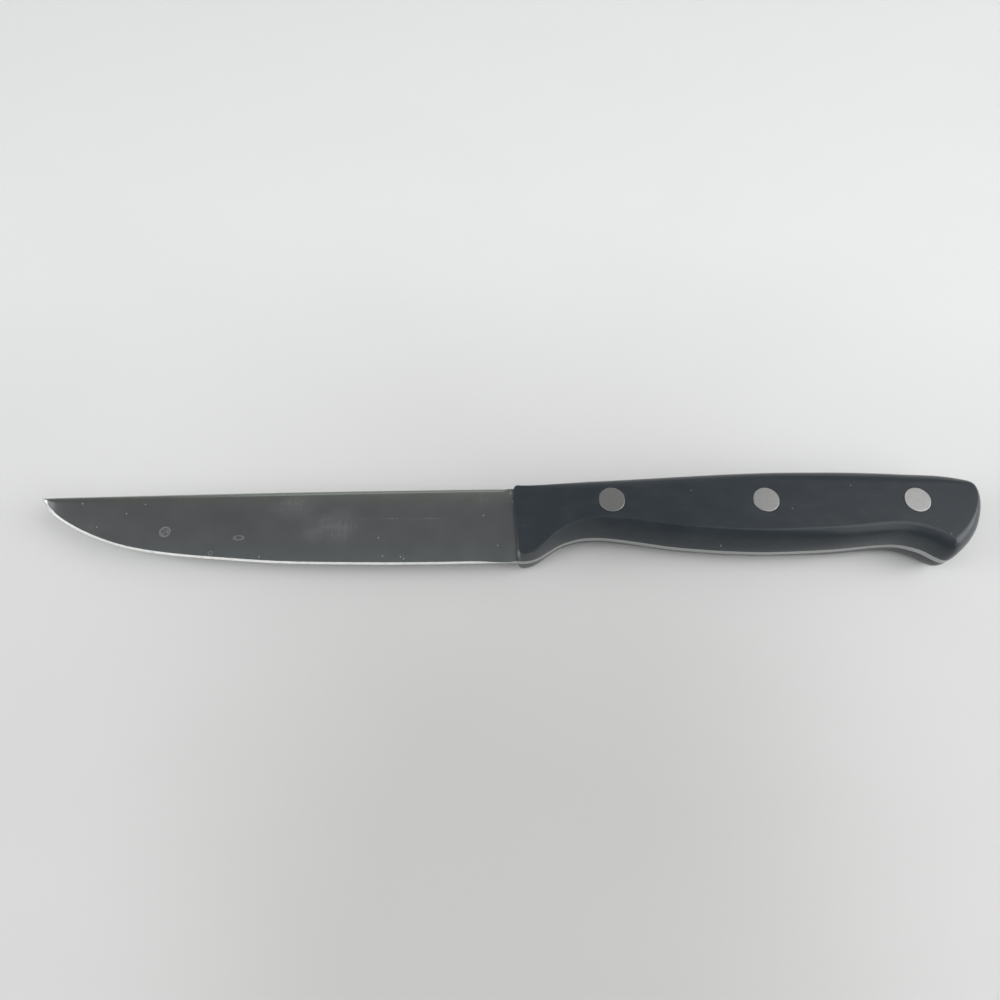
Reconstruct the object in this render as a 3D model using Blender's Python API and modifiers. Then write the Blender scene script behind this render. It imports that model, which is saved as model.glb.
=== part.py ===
"""Full-tang kitchen utility knife lying on its right side: blade, two handle scales, two-piece rivets.

The knife is drawn with X along its length, from the tip to the butt, Y from the edge to the spine and Z
across its thickness. X starts at the handle's front, Y at the rivet line and Z at the blade's middle plane.
"""

import math

import bmesh
import bpy
import numpy as np

# Blade profile: places are (X, Y), the first two measured from the tip, the rest from the handle's front.
BLADE_LENGTH = 0.1206
TIP_HEIGHT = 0.0033
SPINE_MIDDLE = (-0.0610, 0.0048)
SPINE_AT_HEEL = 0.00575
POINT_CURVE = (0.0049, -0.0016)
POINT_BELLY = (0.0219, -0.00935)
EDGE_SWEEP = (-0.0670, -0.01335)
EDGE_BELLY = (-0.0400, -0.0142)

# Blade section: a flat taper on both sides, then a sharpened bevel.
TANG_THICKNESS = 0.0018
THICKNESS_AT_TIP = 0.00095
THICKNESS_AT_BELLY = 0.00055
BEVEL_ANGLE = math.radians(22)
EDGE_LAND = 0.00004
HEEL_RUNOUT = 0.0025

# Handle profile: places are (X, Y), measured from the handle's front, or from its butt where X is negative.
HANDLE_LENGTH = 0.1161
FRONT_RAKE = 0.0011
GUARD_DEPTH = 0.01365
TOP_RISE = (0.0360, 0.0083)
TOP_CROWN = (0.0750, 0.0098)
TOP_BACK = (-0.0131, 0.0088)
BUTT_CORNER = (-0.0012, 0.0066)
BUTT_HEIGHT = 0.0015
BUTT_SLOPE = (-0.0026, -0.0060)
BUTT_LOW = (-0.0074, -0.0113)
BEAK = (-0.0113, -0.0135)
TAIL_SLOPE = (-0.0168, -0.01075)
TAIL_HOLLOW = (-0.0231, -0.00915)
BELLY_BACK = (0.0767, -0.0107)
BELLY = (0.0593, -0.0113)
BELLY_FRONT = (0.0410, -0.01025)
FINGER_HOLLOW = (0.0190, -0.00755)
FINGER_STEP = (0.0118, -0.0090)
GUARD_TOE = (0.0043, -0.0133)

# Handle section: flat sides that swell from the front, with round walls drawn in to them.
HANDLE_THICKNESS = 0.0147
FRONT_THICKNESS = 0.0104
SWELL_LENGTH = 0.0195
WALL_INSET = 0.00325
FRONT_INSET = 0.0010
TOP_INSET_LENGTH = 0.0220
GUARD_INSET = 0.0006
GUARD_LENGTH = 0.0050
UNDER_INSET_LENGTH = 0.0220
CREASE_EASE = 0.0006
BOND_GAP = 0.00005

# Rivets: a solid pin pressed into a tube, each with a flush head.
FRONT_RIVET_FROM_FRONT = 0.0233
MIDDLE_RIVET_FROM_FRONT = 0.0610
REAR_RIVET_FROM_BUTT = 0.0181
PIN_DIAMETER = 0.0032
TUBE_WALL = 0.00065
HEAD_RIM = 0.0009
HEAD_THICKNESS = 0.0022
HEAD_EASE = 0.00015
PIN_END_FROM_FACE = 0.0036
FIT_GAP = 0.00005
TUBE_END_GAP = 0.0003
TANG_HOLE_GAP = 0.0002

# Mesh density
CURVE_STEPS = 24
TIP_STATIONS = 40
TIP_CROWDING = 1.6
HEEL_STATIONS = 5
HOLLOW_STATIONS = 16
GRIP_STATIONS = 16
TAIL_STATIONS = 9
BUTT_STATIONS = 18
WALL_STEPS = 6
CREASE_STEPS = 3
ROUND_STEPS = 32
CREASE_ANGLE = math.radians(28)
MERGE = 1e-6

STEEL = ((0.55, 0.55, 0.54, 1), 0.30, 1.0)
RIVET_METAL = ((0.62, 0.62, 0.60, 1), 0.36, 1.0)
BLACK_PLASTIC = ((0.020, 0.022, 0.026, 1), 0.42, 0.0)


def clear_scene():
    for thing in list(bpy.data.objects):
        bpy.data.objects.remove(thing, do_unlink=True)


def new_collection(name):
    group = bpy.data.collections.new(name)
    bpy.context.scene.collection.children.link(group)
    return group


def new_material(name, look):
    colour, roughness, metallic = look
    made = bpy.data.materials.new(name)
    made.use_nodes = True
    shader = made.node_tree.nodes["Principled BSDF"]
    shader.inputs["Base Color"].default_value = colour
    shader.inputs["Roughness"].default_value = roughness
    shader.inputs["Metallic"].default_value = metallic
    made.diffuse_color = colour
    return made


def new_object(name, body, group, parent, look=None):
    mesh = bpy.data.meshes.new(name)
    body.to_mesh(mesh)
    body.free()
    thing = bpy.data.objects.new(name, mesh)
    group.objects.link(thing)
    thing.parent = parent
    if look:
        mesh.materials.append(new_material(name, look))
        mesh.shade_smooth()
        mesh.set_sharp_from_angle(angle=CREASE_ANGLE)
    return thing


def ease(share):
    """0 before the start of a stretch and 1 past its end, level at both."""
    share = np.clip(share, 0, 1)
    return share * share * (3 - 2 * share)


def smooth_line(knots):
    """A smooth curve through the knots: cubic pieces whose slopes weigh both neighbours."""
    knots = np.array(knots)
    spans = np.linalg.norm(np.diff(knots, axis=0), axis=1)[:, None] ** 0.5
    speeds = np.diff(knots, axis=0) / spans
    inner = (speeds[:-1] * spans[1:] + speeds[1:] * spans[:-1]) / (spans[:-1] + spans[1:])
    slopes = np.vstack([2 * speeds[0] - inner[0], inner, 2 * speeds[-1] - inner[-1]])
    u = np.linspace(0, 1, CURVE_STEPS, endpoint=False)[:, None, None]
    start = (1 + 2 * u) * (1 - u) ** 2 * knots[:-1] + u * (1 - u) ** 2 * spans * slopes[:-1]
    finish = u * u * (3 - 2 * u) * knots[1:] - u * u * (1 - u) * spans * slopes[1:]
    points = (start + finish).transpose(1, 0, 2).reshape(-1, 2)
    return np.vstack([points, knots[-1:]])


def height_on(line, x):
    return np.interp(x, line[:, 0], line[:, 1])


def from_butt(place):
    return (HANDLE_LENGTH + place[0], place[1])


def front_top():
    return (-FRONT_RAKE / 2, SPINE_AT_HEEL)


def front_bottom():
    return (FRONT_RAKE / 2, -GUARD_DEPTH)


def butt_end():
    return (HANDLE_LENGTH, BUTT_HEIGHT)


def handle_rungs():
    """Matching points on the handle's top and lower outlines, from the front to the butt."""
    back = [from_butt(place) for place in (TOP_BACK, BUTT_CORNER)]
    under = [from_butt(place) for place in (BUTT_SLOPE, BUTT_LOW, BEAK, TAIL_SLOPE, TAIL_HOLLOW)]
    belly = [BELLY_BACK, BELLY, BELLY_FRONT, FINGER_HOLLOW, FINGER_STEP, GUARD_TOE]
    knots = [front_top(), TOP_RISE, TOP_CROWN, *back, butt_end(), *under, *belly, front_bottom()]
    line = smooth_line(knots)
    turn = CURVE_STEPS * (knots.index(butt_end()))
    top, low = line[: turn + 1], line[turn:][::-1]
    tail, beak = from_butt(TAIL_HOLLOW)[0], from_butt(BEAK)[0]
    x = np.concatenate(
        [
            np.linspace(0, FINGER_HOLLOW[0], HOLLOW_STATIONS, endpoint=False),
            np.linspace(FINGER_HOLLOW[0], tail, GRIP_STATIONS, endpoint=False),
            np.linspace(tail, beak, TAIL_STATIONS, endpoint=False),
            beak + (HANDLE_LENGTH - beak) * np.sin(np.linspace(0, math.pi / 2, BUTT_STATIONS)),
        ]
    )
    rake = FRONT_RAKE / 2 * (1 - x / HANDLE_LENGTH)
    upper = np.column_stack([x - rake, height_on(top, x - rake)])
    lower = np.column_stack([x + rake, height_on(low, x + rake)])
    upper[-1] = lower[-1] = butt_end()
    return upper, lower


def blade_rungs():
    """Matching points on the spine and the edge, from the tip to the handle's front."""
    tip = (-BLADE_LENGTH, TIP_HEIGHT)
    spine = smooth_line([tip, SPINE_MIDDLE, front_top()])
    point = [(place[0] - BLADE_LENGTH, place[1]) for place in (POINT_CURVE, POINT_BELLY)]
    edge = smooth_line([tip, *point, EDGE_SWEEP, EDGE_BELLY, front_bottom()])
    before_heel = np.linspace(0, 1, TIP_STATIONS, endpoint=False) ** TIP_CROWDING
    heel = 1 - np.linspace(HEEL_RUNOUT, 0, HEEL_STATIONS + 1) / BLADE_LENGTH
    share = np.concatenate([before_heel * heel[0], heel])
    x_spine = -BLADE_LENGTH + share * (front_top()[0] + BLADE_LENGTH)
    x_edge = -BLADE_LENGTH + share * (front_bottom()[0] + BLADE_LENGTH)
    upper = np.column_stack([x_spine, height_on(spine, x_spine)])
    lower = np.column_stack([x_edge, height_on(edge, x_edge)])
    return upper, lower


def blade_thickness():
    """The taper: thickness falls evenly over X and Y, through its values at the heel, belly and tip."""
    places = np.array([(*front_top(), 1), (*EDGE_BELLY, 1), (-BLADE_LENGTH, TIP_HEIGHT, 1)])
    slope_x, slope_y, base = np.linalg.solve(places, [TANG_THICKNESS, THICKNESS_AT_BELLY, THICKNESS_AT_TIP])
    return slope_x, slope_y, base


def blade_sections():
    """Six points round each section of the blade, from the tip to the handle's front."""
    upper, lower = blade_rungs()
    slope_x, slope_y, base = blade_thickness()
    along = np.gradient(lower, axis=0)
    along /= np.linalg.norm(along, axis=1)[:, None]
    inward = np.column_stack([-along[:, 1], along[:, 0]])
    drop = (upper - lower)[:, 1] * inward[:, 1]
    rise = math.tan(BEVEL_ANGLE)
    at_edge = slope_x * lower[:, 0] + slope_y * lower[:, 1] + base
    width = np.minimum((at_edge - EDGE_LAND) / 2 / (rise - slope_y / 2), drop)
    shoulder = lower + inward * width[:, None]
    half_spine = (slope_x * upper[:, 0] + slope_y * upper[:, 1] + base) / 2
    half_spine = np.minimum(half_spine, EDGE_LAND / 2 + drop * rise)
    half_shoulder = EDGE_LAND / 2 + width * rise
    half_edge = np.full(len(lower), EDGE_LAND / 2)
    runout = ease((lower[:, 0] + HEEL_RUNOUT) / HEEL_RUNOUT)
    halves = [half + runout * (TANG_THICKNESS / 2 - half) for half in (half_spine, half_shoulder, half_edge)]
    return section_loops((upper, shoulder, lower), halves)


def tang_sections():
    upper, lower = handle_rungs()
    half = np.full(len(upper), TANG_THICKNESS / 2)
    middle = (upper + lower) / 2
    return section_loops((upper, middle, lower), (half, half, half))


def section_loops(lines, halves):
    left = [np.column_stack([line, half]) for line, half in zip(lines, halves)]
    right = [np.column_stack([line, -half]) for line, half in zip(lines, halves)]
    return np.stack([*left, *right[::-1]], axis=1)


def skin(body, loops):
    """Closed rings of points joined by faces, ring to ring."""
    rings = [[body.verts.new(point) for point in loop] for loop in loops]
    for ring, after in zip(rings, rings[1:]):
        for i in range(len(ring)):
            j = (i + 1) % len(ring)
            body.faces.new((ring[i], ring[j], after[j], after[i]))
    return rings


def tidy(body):
    bmesh.ops.remove_doubles(body, verts=body.verts, dist=MERGE)
    bmesh.ops.dissolve_degenerate(body, edges=body.edges, dist=MERGE)
    bmesh.ops.recalc_face_normals(body, faces=body.faces)


def blade_body():
    body = bmesh.new()
    skin(body, np.concatenate([blade_sections(), tang_sections()[1:]]))
    tidy(body)
    return body


def half_thickness(x):
    swell = ease(x / SWELL_LENGTH)
    return (FRONT_THICKNESS + (HANDLE_THICKNESS - FRONT_THICKNESS) * swell) / 2


def top_inset(x):
    return FRONT_INSET + (WALL_INSET - FRONT_INSET) * ease(x / TOP_INSET_LENGTH)


def under_inset(x):
    return GUARD_INSET + (WALL_INSET - GUARD_INSET) * ease((x - GUARD_LENGTH) / UNDER_INSET_LENGTH)


def unfolded(line):
    """A line that runs along X, with each point that turns back moved onto the furthest one before it."""
    furthest = np.maximum.accumulate(line[:, 0])
    kept = np.where(line[:, 0] < furthest, 0, np.arange(len(line)))
    return line[np.maximum.accumulate(kept)]


def inward_steps(outline, reach, rungs):
    """How far each outline point moves inwards for each metre of inset, mitred at the corners."""
    ahead = np.roll(outline, -1, axis=0) - outline
    ahead /= np.linalg.norm(ahead, axis=1)[:, None]
    normal = np.column_stack([ahead[:, 1], -ahead[:, 0]])
    before = np.roll(normal, 1, axis=0)
    mitre = (before + normal) / (1 + (before * normal).sum(axis=1))[:, None]
    flat = outline + mitre * reach[:, None]
    # Where the outline turns tighter than the inset, the flat's edge closes to a corner.
    flat[:rungs] = unfolded(flat[:rungs])
    flat[rungs:] = unfolded(flat[rungs:][::-1])[::-1]
    return (flat - outline) / reach[:, None]


def scale_body(side):
    """A handle scale: a round wall from the tang up to an eased crease, then the flat side."""
    upper, lower = handle_rungs()
    rungs = len(upper)
    lower = lower[-2::-1]
    outline = np.vstack([upper, lower])
    half = half_thickness(outline[:, 0])
    inset = np.concatenate([top_inset(upper[:, 0]), under_inset(lower[:, 0])])
    radius = (inset**2 + half**2) / (2 * inset)
    steps = inward_steps(outline, inset + CREASE_EASE, rungs)
    seat = TANG_THICKNESS / 2 + BOND_GAP

    def ring(distance, height):
        return np.column_stack([outline + steps * distance[:, None], side * height])

    def wall(height):
        return radius - np.sqrt(radius**2 - height**2)

    loops = []
    top_of_wall = half - CREASE_EASE
    for share in np.linspace(0, 1, WALL_STEPS + 1):
        height = seat + (top_of_wall - seat) * share
        loops.append(ring(wall(height), height))
    for share in np.linspace(0, 1, CREASE_STEPS + 1)[1:]:
        start, middle, finish = (1 - share) ** 2, 2 * share * (1 - share), share**2
        distance = start * wall(top_of_wall) + middle * inset + finish * (inset + CREASE_EASE)
        loops.append(ring(distance, start * top_of_wall + (middle + finish) * half))
    body = bmesh.new()
    rings = skin(body, loops)
    for cap in (rings[0], rings[-1]):
        top, low = cap[:rungs], [*cap[rungs:][::-1], cap[rungs - 1]]
        for i in range(rungs - 2):
            body.faces.new((top[i], top[i + 1], low[i + 1], low[i]))
        body.faces.new((top[rungs - 2], top[rungs - 1], low[rungs - 2]))
    tidy(body)
    return body


def turned(name, profile, group, parent, look):
    """A solid of revolution about Z from (radius, height) points, listed from the top down."""
    mesh = bpy.data.meshes.new(name)
    points = [(radius, 0, height) for radius, height in profile]
    mesh.from_pydata(points, [(i, i + 1) for i in range(len(points) - 1)], [])
    mesh.materials.append(new_material(name, look))
    thing = bpy.data.objects.new(name, mesh)
    group.objects.link(thing)
    thing.parent = parent
    screw = thing.modifiers.new("turn", "SCREW")
    screw.steps = ROUND_STEPS
    screw.render_steps = ROUND_STEPS
    screw.use_merge_vertices = True
    screw.merge_threshold = MERGE
    screw.use_smooth_shade = False
    return thing


def tube_radius():
    return PIN_DIAMETER / 2 + FIT_GAP + TUBE_WALL


def head_radius():
    return tube_radius() + HEAD_RIM


def head_profile():
    top = HANDLE_THICKNESS / 2
    radius = head_radius()
    return [(0, top), (radius - HEAD_EASE, top), (radius, top - HEAD_EASE), (radius, top - HEAD_THICKNESS)]


def male_profile():
    """A head at +Z and the pin below it."""
    radius = PIN_DIAMETER / 2
    end = PIN_END_FROM_FACE - HANDLE_THICKNESS / 2
    shank = [(radius, HANDLE_THICKNESS / 2 - HEAD_THICKNESS), (radius, end + HEAD_EASE)]
    return [*head_profile(), *shank, (radius - HEAD_EASE, end), (0, end)]


def female_profile():
    """A head at +Z and the tube below it, bored for the pin."""
    outer, bore = tube_radius(), PIN_DIAMETER / 2 + FIT_GAP
    under = HANDLE_THICKNESS / 2 - HEAD_THICKNESS
    mouth = -under + TUBE_END_GAP
    floor = HANDLE_THICKNESS / 2 - PIN_END_FROM_FACE + TUBE_END_GAP
    return [*head_profile(), (outer, under), (outer, mouth), (bore, mouth), (bore, floor), (0, floor)]


def rivet_places():
    rear = HANDLE_LENGTH - REAR_RIVET_FROM_BUTT
    return {"front": FRONT_RIVET_FROM_FRONT, "middle": MIDDLE_RIVET_FROM_FRONT, "rear": rear}


def add_drill(body, place, radius, low, high):
    made = bmesh.ops.create_cone(
        body, cap_ends=True, segments=ROUND_STEPS, radius1=radius, radius2=radius, depth=high - low
    )
    bmesh.ops.translate(body, verts=made["verts"], vec=(place, 0, (low + high) / 2))


def drill_holes(target, name, stages, group, parent):
    """Cuts each stage, a (radius, low, high) cylinder, at the three rivet places."""
    for number, (radius, low, high) in enumerate(stages):
        body = bmesh.new()
        for place in rivet_places().values():
            add_drill(body, place, radius, low, high)
        cutter = new_object(f"{name}_{number}", body, group, parent)
        cutter.display_type = "WIRE"
        cutter.hide_render = True
        cut = target.modifiers.new(cutter.name, "BOOLEAN")
        cut.operation = "DIFFERENCE"
        cut.solver = "EXACT"
        cut.object = cutter


def make_knife():
    clear_scene()
    parts = new_collection("utility_knife")
    cutters = new_collection("utility_knife_cutters")
    outline = np.vstack([*blade_rungs(), *handle_rungs()])
    low, high = outline.min(axis=0), outline.max(axis=0)
    stand = bpy.data.objects.new("utility_knife_stand", None)
    stand.location = (*(-(low + high) / 2), HANDLE_THICKNESS / 2)
    parts.objects.link(stand)

    past_face = HANDLE_THICKNESS
    blade = new_object("blade", blade_body(), parts, stand, STEEL)
    tang_hole = (tube_radius() + TANG_HOLE_GAP, -past_face, past_face)
    drill_holes(blade, "tang_holes", [tang_hole], cutters, stand)

    shank_hole = (tube_radius() + FIT_GAP, -past_face, past_face)
    seat = HANDLE_THICKNESS / 2 - HEAD_THICKNESS - FIT_GAP
    for side, word in ((1, "left"), (-1, "right")):
        scale = new_object(f"{word}_handle_scale", scale_body(side), parts, stand, BLACK_PLASTIC)
        head_hole = (head_radius() + FIT_GAP, *sorted((side * seat, side * past_face)))
        drill_holes(scale, f"{word}_scale_holes", [shank_hole, head_hole], cutters, stand)

    for word, place in rivet_places().items():
        male = turned(f"{word}_rivet_male", male_profile(), parts, stand, RIVET_METAL)
        male.location.x = place
        female = turned(f"{word}_rivet_female", female_profile(), parts, stand, RIVET_METAL)
        female.location.x = place
        female.rotation_euler.x = math.pi


make_knife()
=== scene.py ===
import math

import bmesh
import bpy
import numpy as np
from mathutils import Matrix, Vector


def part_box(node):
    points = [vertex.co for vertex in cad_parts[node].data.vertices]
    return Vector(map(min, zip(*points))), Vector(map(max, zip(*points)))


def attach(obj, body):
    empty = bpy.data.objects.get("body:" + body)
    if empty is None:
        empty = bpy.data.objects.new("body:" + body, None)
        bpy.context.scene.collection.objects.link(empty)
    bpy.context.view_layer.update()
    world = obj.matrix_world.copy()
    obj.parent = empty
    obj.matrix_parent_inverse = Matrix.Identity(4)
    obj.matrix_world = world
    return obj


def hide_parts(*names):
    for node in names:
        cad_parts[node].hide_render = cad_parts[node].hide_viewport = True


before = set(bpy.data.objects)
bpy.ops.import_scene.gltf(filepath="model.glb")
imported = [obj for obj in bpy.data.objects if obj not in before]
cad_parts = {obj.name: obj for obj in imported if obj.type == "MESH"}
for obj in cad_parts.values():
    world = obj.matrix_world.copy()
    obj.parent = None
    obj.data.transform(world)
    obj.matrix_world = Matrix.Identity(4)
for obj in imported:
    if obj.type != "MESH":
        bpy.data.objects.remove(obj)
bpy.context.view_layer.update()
print("frame loaded,", len(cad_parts), "nodes")

# Sizes are in millimetres. X runs from the handle's front to the butt, Y from the rivet line to the spine,
# Z from the middle of the steel to the side that faces up.
metre = 1000.0


# Level at both ends: 3 s^2 - 2 s^3, held at 0 before the stretch and at 1 past it
def ease(share):
    share = np.clip(share, 0, 1)
    return share * share * (3 - 2 * share)


# A curve through the knots: cubic pieces, each knot's slope weighing both neighbouring chords
def smoothLine(knots, steps):
    knots = np.array(knots, float)
    spans = np.linalg.norm(np.diff(knots, axis=0), axis=1)[:, None] ** 0.5
    speeds = np.diff(knots, axis=0) / spans
    inner = (speeds[:-1] * spans[1:] + speeds[1:] * spans[:-1]) / (spans[:-1] + spans[1:])
    slopes = np.vstack([2 * speeds[0] - inner[0], inner, 2 * speeds[-1] - inner[-1]])
    u = np.linspace(0, 1, steps, endpoint=False)[:, None, None]
    start = (1 + 2 * u) * (1 - u) ** 2 * knots[:-1] + u * (1 - u) ** 2 * spans * slopes[:-1]
    finish = u * u * (3 - 2 * u) * knots[1:] - u * u * (1 - u) * spans * slopes[1:]
    points = (start + finish).transpose(1, 0, 2).reshape(-1, 2)
    return np.vstack([points, knots[-1:]])


# The height of a line at x, straight between its points
def heightOn(line, x):
    return np.interp(x, line[:, 0], line[:, 1])


# Quads between the neighbours of a grid of points whose second direction closes on itself
def gridFaces(rows, columns):
    here = np.arange(rows * columns).reshape(rows, columns)
    across = np.roll(here, -1, axis=1)
    quads = np.stack([here[:-1], across[:-1], across[1:], here[1:]], axis=-1)
    return quads.reshape(-1, 4)


def newObject(name, data):
    thing = bpy.data.objects.new(name, data)
    bpy.context.scene.collection.objects.link(thing)
    return thing


def shadeSmooth(mesh, sharpAngle):
    mesh.shade_smooth()
    mesh.set_sharp_from_angle(angle=math.radians(sharpAngle))


# A piece at the origin: points in knife millimetres, seams and poles merged, faces turned outwards
def newPiece(name, points, faces, sharpAngle, materials, faceMaterial=None, mergeGap=0.0001):
    mesh = bpy.data.meshes.new(name)
    placed = (points.reshape(-1, 3) + origin) / metre
    mesh.from_pydata(placed.tolist(), [], [list(face) for face in faces])
    for material in materials:
        mesh.materials.append(material)
    if faceMaterial is not None:
        mesh.polygons.foreach_set("material_index", faceMaterial)
    body = bmesh.new()
    body.from_mesh(mesh)
    bmesh.ops.remove_doubles(body, verts=body.verts, dist=mergeGap / metre)
    bmesh.ops.dissolve_degenerate(body, edges=body.edges, dist=mergeGap / metre)
    bmesh.ops.recalc_face_normals(body, faces=body.faces)
    body.to_mesh(mesh)
    body.free()
    shadeSmooth(mesh, sharpAngle)
    return newObject(name, mesh)


# Evens out the points of faces that have folded over their neighbours
def unfold(thing, angle, rounds, factor):
    everyWay = {"use_axis_x": True, "use_axis_y": True, "use_axis_z": True}
    body = bmesh.new()
    body.from_mesh(thing.data)
    bmesh.ops.triangulate(body, faces=[face for face in body.faces if len(face.verts) == 4])
    for _ in range(rounds):
        body.normal_update()
        folds = [edge for edge in body.edges if edge.calc_face_angle(0) > math.radians(angle)]
        folded = {point.index for edge in folds for point in edge.verts}
        points = [point for point in body.verts if point.index in folded]
        bmesh.ops.smooth_vert(body, verts=points, factor=factor, **everyWay)
    body.to_mesh(thing.data)
    body.free()


# Cuts the holes, keeps the cut mesh and removes the cutter
def cutHoles(thing, cutter, sharpAngle):
    cut = thing.modifiers.new("holes", "BOOLEAN")
    cut.operation = "DIFFERENCE"
    cut.solver = "EXACT"
    cut.object = cutter
    bpy.context.view_layer.update()
    ready = thing.evaluated_get(bpy.context.evaluated_depsgraph_get())
    mesh = bpy.data.meshes.new_from_object(ready)
    thing.modifiers.clear()
    thing.data = mesh
    shadeSmooth(mesh, sharpAngle)
    bpy.data.objects.remove(cutter, do_unlink=True)


def finishPiece(thing, node):
    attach(thing, "root")
    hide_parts(node)
    thing.data.calc_loop_triangles()
    print("made", thing.name, "in place of", node, "with", len(thing.data.loop_triangles), "triangles")


# One socket's value on its way through a node tree: arithmetic on it adds Math nodes
class Flow:
    def __init__(self, tree, socket=None):
        self.tree = tree
        self.socket = socket

    # any node: its settings come first, then the values or links of its sockets
    def node(self, kind, settings, inputs, output=0):
        made = self.tree.nodes.new(kind)
        for name, value in settings.items():
            setattr(made, name, value)
        for name, value in inputs.items():
            if isinstance(value, Flow):
                self.tree.links.new(value.socket, made.inputs[name])
            else:
                made.inputs[name].default_value = value
        return Flow(self.tree, made.outputs[output])

    def maths(self, operation, first, second=0.0):
        return self.node("ShaderNodeMath", {"operation": operation}, {0: first, 1: second})

    def __add__(self, other):
        return self.maths("ADD", self, other)

    def __radd__(self, other):
        return self.maths("ADD", other, self)

    def __sub__(self, other):
        return self.maths("SUBTRACT", self, other)

    def __rsub__(self, other):
        return self.maths("SUBTRACT", other, self)

    def __mul__(self, other):
        return self.maths("MULTIPLY", self, other)

    def __rmul__(self, other):
        return self.maths("MULTIPLY", other, self)

    def __truediv__(self, other):
        return self.maths("DIVIDE", self, other)

    def __rtruediv__(self, other):
        return self.maths("DIVIDE", other, self)

    def __pow__(self, other):
        return self.maths("POWER", self, other)

    def __rpow__(self, other):
        return self.maths("POWER", other, self)

    def __gt__(self, other):
        return self.maths("GREATER_THAN", self, other)

    def __lt__(self, other):
        return self.maths("LESS_THAN", self, other)

    def __abs__(self):
        return self.maths("ABSOLUTE", self)

    # the larger of two masks
    def orElse(self, other):
        return self.maths("MAXIMUM", self, other)

    # a mask that never falls below low
    def atLeast(self, low):
        return low + (1 - low) * self

    # how far a cloud strays from its middle value
    def stray(self):
        return self - 0.5

    # 0 at low, 1 at high, level at both
    def between(self, low, high):
        settings = {"interpolation_type": "SMOOTHSTEP"}
        return self.node("ShaderNodeMapRange", settings, {0: self, 1: low, 2: high})


def mixColours(share, first, second):
    return share.node("ShaderNodeMix", {"data_type": "RGBA"}, {0: share, 6: first, 7: second}, 2)


def tinted(colour, tint):
    settings = {"data_type": "RGBA", "blend_type": "MULTIPLY"}
    return colour.node("ShaderNodeMix", settings, {0: 1.0, 6: colour, 7: tint}, 2)


# A normal bent by the height, where 1 counts as depth metres
def bumped(height, strength, depth):
    return height.node("ShaderNodeBump", {}, {"Strength": strength, "Distance": depth, "Height": height})


# Object coordinates in knife millimetres, and their three values
def knifePlace(material):
    place = Flow(material.node_tree).node("ShaderNodeTexCoord", {}, {}, "Object")
    inputs = {0: place, 1: tuple(origin / metre)}
    moved = place.node("ShaderNodeVectorMath", {"operation": "SUBTRACT"}, inputs)
    scaled = place.node("ShaderNodeVectorMath", {"operation": "SCALE"}, {0: moved, 3: metre})
    values = [scaled.node("ShaderNodeSeparateXYZ", {}, {0: scaled}, axis) for axis in "XYZ"]
    return scaled, *values


# A cloud with patches about as large as the given millimetres along X, Y and Z
def cloud(place, patch, detail, grain):
    stretched = place.node("ShaderNodeVectorMath", {"operation": "DIVIDE"}, {0: place, 1: patch})
    inputs = {"Vector": stretched, "Detail": detail, "Roughness": grain, "Scale": 1.0}
    return place.node("ShaderNodeTexNoise", {}, inputs)


def clouds(place, look, names):
    return [cloud(place, *look[name]) for name in names]


# Scattered dots: the middles of cells that are cell millimetres wide, in a share of the cells. A dot fades
# from half its radius outwards.
def dots(place, cell, radius, share):
    stretched = place.node("ShaderNodeVectorMath", {"operation": "SCALE"}, {0: place, 3: 1 / cell})
    settings = {"voronoi_dimensions": "2D"}
    inputs = {"Vector": stretched, "Scale": 1.0}
    distance = place.node("ShaderNodeTexVoronoi", settings, inputs, "Distance")
    colour = place.node("ShaderNodeTexVoronoi", settings, inputs, "Color")
    pick = place.node("ShaderNodeSeparateColor", {}, {0: colour}, 0)
    return (1 - distance.between(0.5 * radius / cell, radius / cell)) * (pick > 1 - share)


# How far a point lies from an oval's middle, 1 on its line
def ovalReach(x, y, oval):
    middleX, middleY, radiusX, radiusY = oval
    return (((x - middleX) / radiusX) ** 2 + ((y - middleY) / radiusY) ** 2) ** 0.5


# Faint scattered dots and clear specks at set places, on the side that faces up
def dustSpecks(place, x, y, z, look):
    specks = dots(place, *look["dots"]) * look["dotStrength"]
    radius = look["speckRadius"]
    for speckX, speckY in look["specks"]:
        reach = ovalReach(x, y, (speckX, speckY, radius, radius))
        specks = specks.orElse(1 - reach.between(*look["speckEdge"]))
    return specks * (z > 0) * look["speckStrength"]


def newMaterial(name, constants):
    material = bpy.data.materials.new(name)
    material.use_nodes = True
    shader = material.node_tree.nodes["Principled BSDF"]
    for socket, value in constants.items():
        shader.inputs[socket].default_value = value
    print("mixing", name)
    return material, shader


def feed(shader, links):
    for socket, flow in links.items():
        flow.tree.links.new(flow.socket, shader.inputs[socket])


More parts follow.
